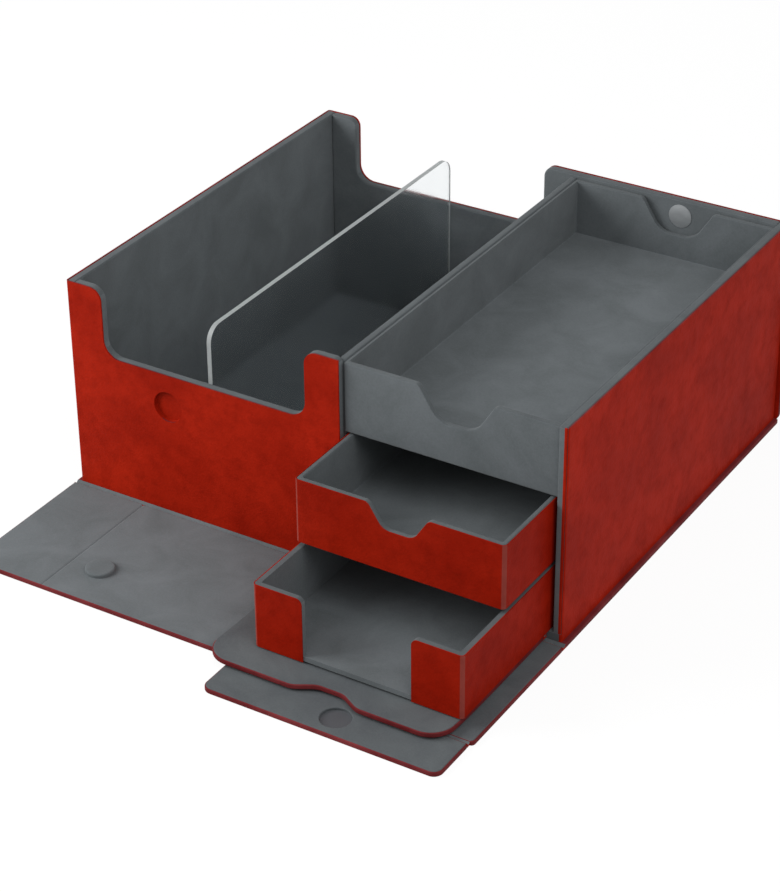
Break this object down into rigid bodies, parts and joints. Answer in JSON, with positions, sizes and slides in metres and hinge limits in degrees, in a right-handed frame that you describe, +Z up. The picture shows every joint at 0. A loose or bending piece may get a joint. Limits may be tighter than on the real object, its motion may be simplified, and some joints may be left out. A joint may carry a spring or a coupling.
{
  "type": "card storage box",
  "caption": "Open red leatherette card box with a divided card bay, a lift-out tray over sliding drawers, and fold-down front flaps with magnetic closure.",
  "frame": {"origin": "middle of the case's footprint, on the surface that the box stands on", "axes": "+X to the right seen from the front, +Y to the back, +Z up"},
  "size_m": [0.265, 0.3338, 0.1106],
  "materials": {
    "red_leatherette": "fine grain, satin",
    "grey_lining": "microfibre, matte",
    "board": "grey board",
    "clear_sheet": "clear, polished",
    "steel": "plated"
  },
  "bodies": {
    "case": {"case_skin": "red_leatherette", "left_wall": "board", "right_wall": "board", "front_wall": "board", "back_wall": "board", "floor_board": "board", "partition_wall": "board", "left_wall_lining": "grey_lining", "right_wall_lining": "grey_lining", "front_wall_lining": "grey_lining", "back_wall_lining": "grey_lining", "partition_lining": "grey_lining", "card_floor_lining": "grey_lining", "bay_floor_lining": "grey_lining", "drawer_shelf": "grey_lining", "tray_shelf": "grey_lining", "wall_magnet": "steel", "back_stud": "steel", "base_cover": "red_leatherette", "base_core": "board", "rear_cover": "red_leatherette", "rear_core": "board", "left_flap_hinge": "red_leatherette", "right_flap_cover": "red_leatherette", "right_flap_core": "board", "right_flap_lining": "grey_lining", "right_flap_hinge": "red_leatherette", "tongue_cover": "red_leatherette", "tongue_core": "board", "tongue_lining": "grey_lining", "tongue_magnet": "steel", "tongue_hinge": "red_leatherette", "drawer_door_cover": "red_leatherette", "drawer_door_core": "board", "drawer_door_lining": "grey_lining", "drawer_door_hinge": "red_leatherette"},
    "left_flap": {"left_flap_cover": "red_leatherette", "left_flap_core": "board", "left_flap_lining": "grey_lining", "left_flap_button": "grey_lining", "left_flap_magnet": "steel"},
    "upper_drawer": {"upper_drawer_skin": "red_leatherette", "upper_drawer_floor": "board", "upper_drawer_sides": "board", "upper_drawer_front": "board", "upper_drawer_back": "board", "upper_drawer_lining": "grey_lining"},
    "lower_drawer": {"lower_drawer_skin": "red_leatherette", "lower_drawer_floor": "board", "lower_drawer_sides": "board", "lower_drawer_front": "board", "lower_drawer_back": "board", "lower_drawer_lining": "grey_lining"},
    "tray": {"tray_floor": "grey_lining", "tray_front": "grey_lining", "tray_back": "grey_lining", "tray_sides": "grey_lining"},
    "divider": {"card_divider": "clear_sheet"}
  },
  "joints": [
    {"name": "left_flap_fold", "type": "hinge", "parent": "case", "child": "left_flap", "pos_m": [0, -0.113, 0.0026], "axis": [-1, 0, 0], "range_deg": [0, 90]},
    {"name": "upper_drawer_slide", "type": "slide", "parent": "case", "child": "upper_drawer", "axis": [0, -1, 0], "range_m": [-0.043, 0.13]},
    {"name": "lower_drawer_slide", "type": "slide", "parent": "case", "child": "lower_drawer", "axis": [0, -1, 0], "range_m": [-0.077, 0.096]},
    {"name": "tray_lift", "type": "slide", "parent": "case", "child": "tray", "axis": [0, 0, 1], "range_m": [0, 0.06]},
    {"name": "divider_lift", "type": "slide", "parent": "case", "child": "divider", "axis": [0, 0, 1], "range_m": [0, 0.095]}
  ]
}
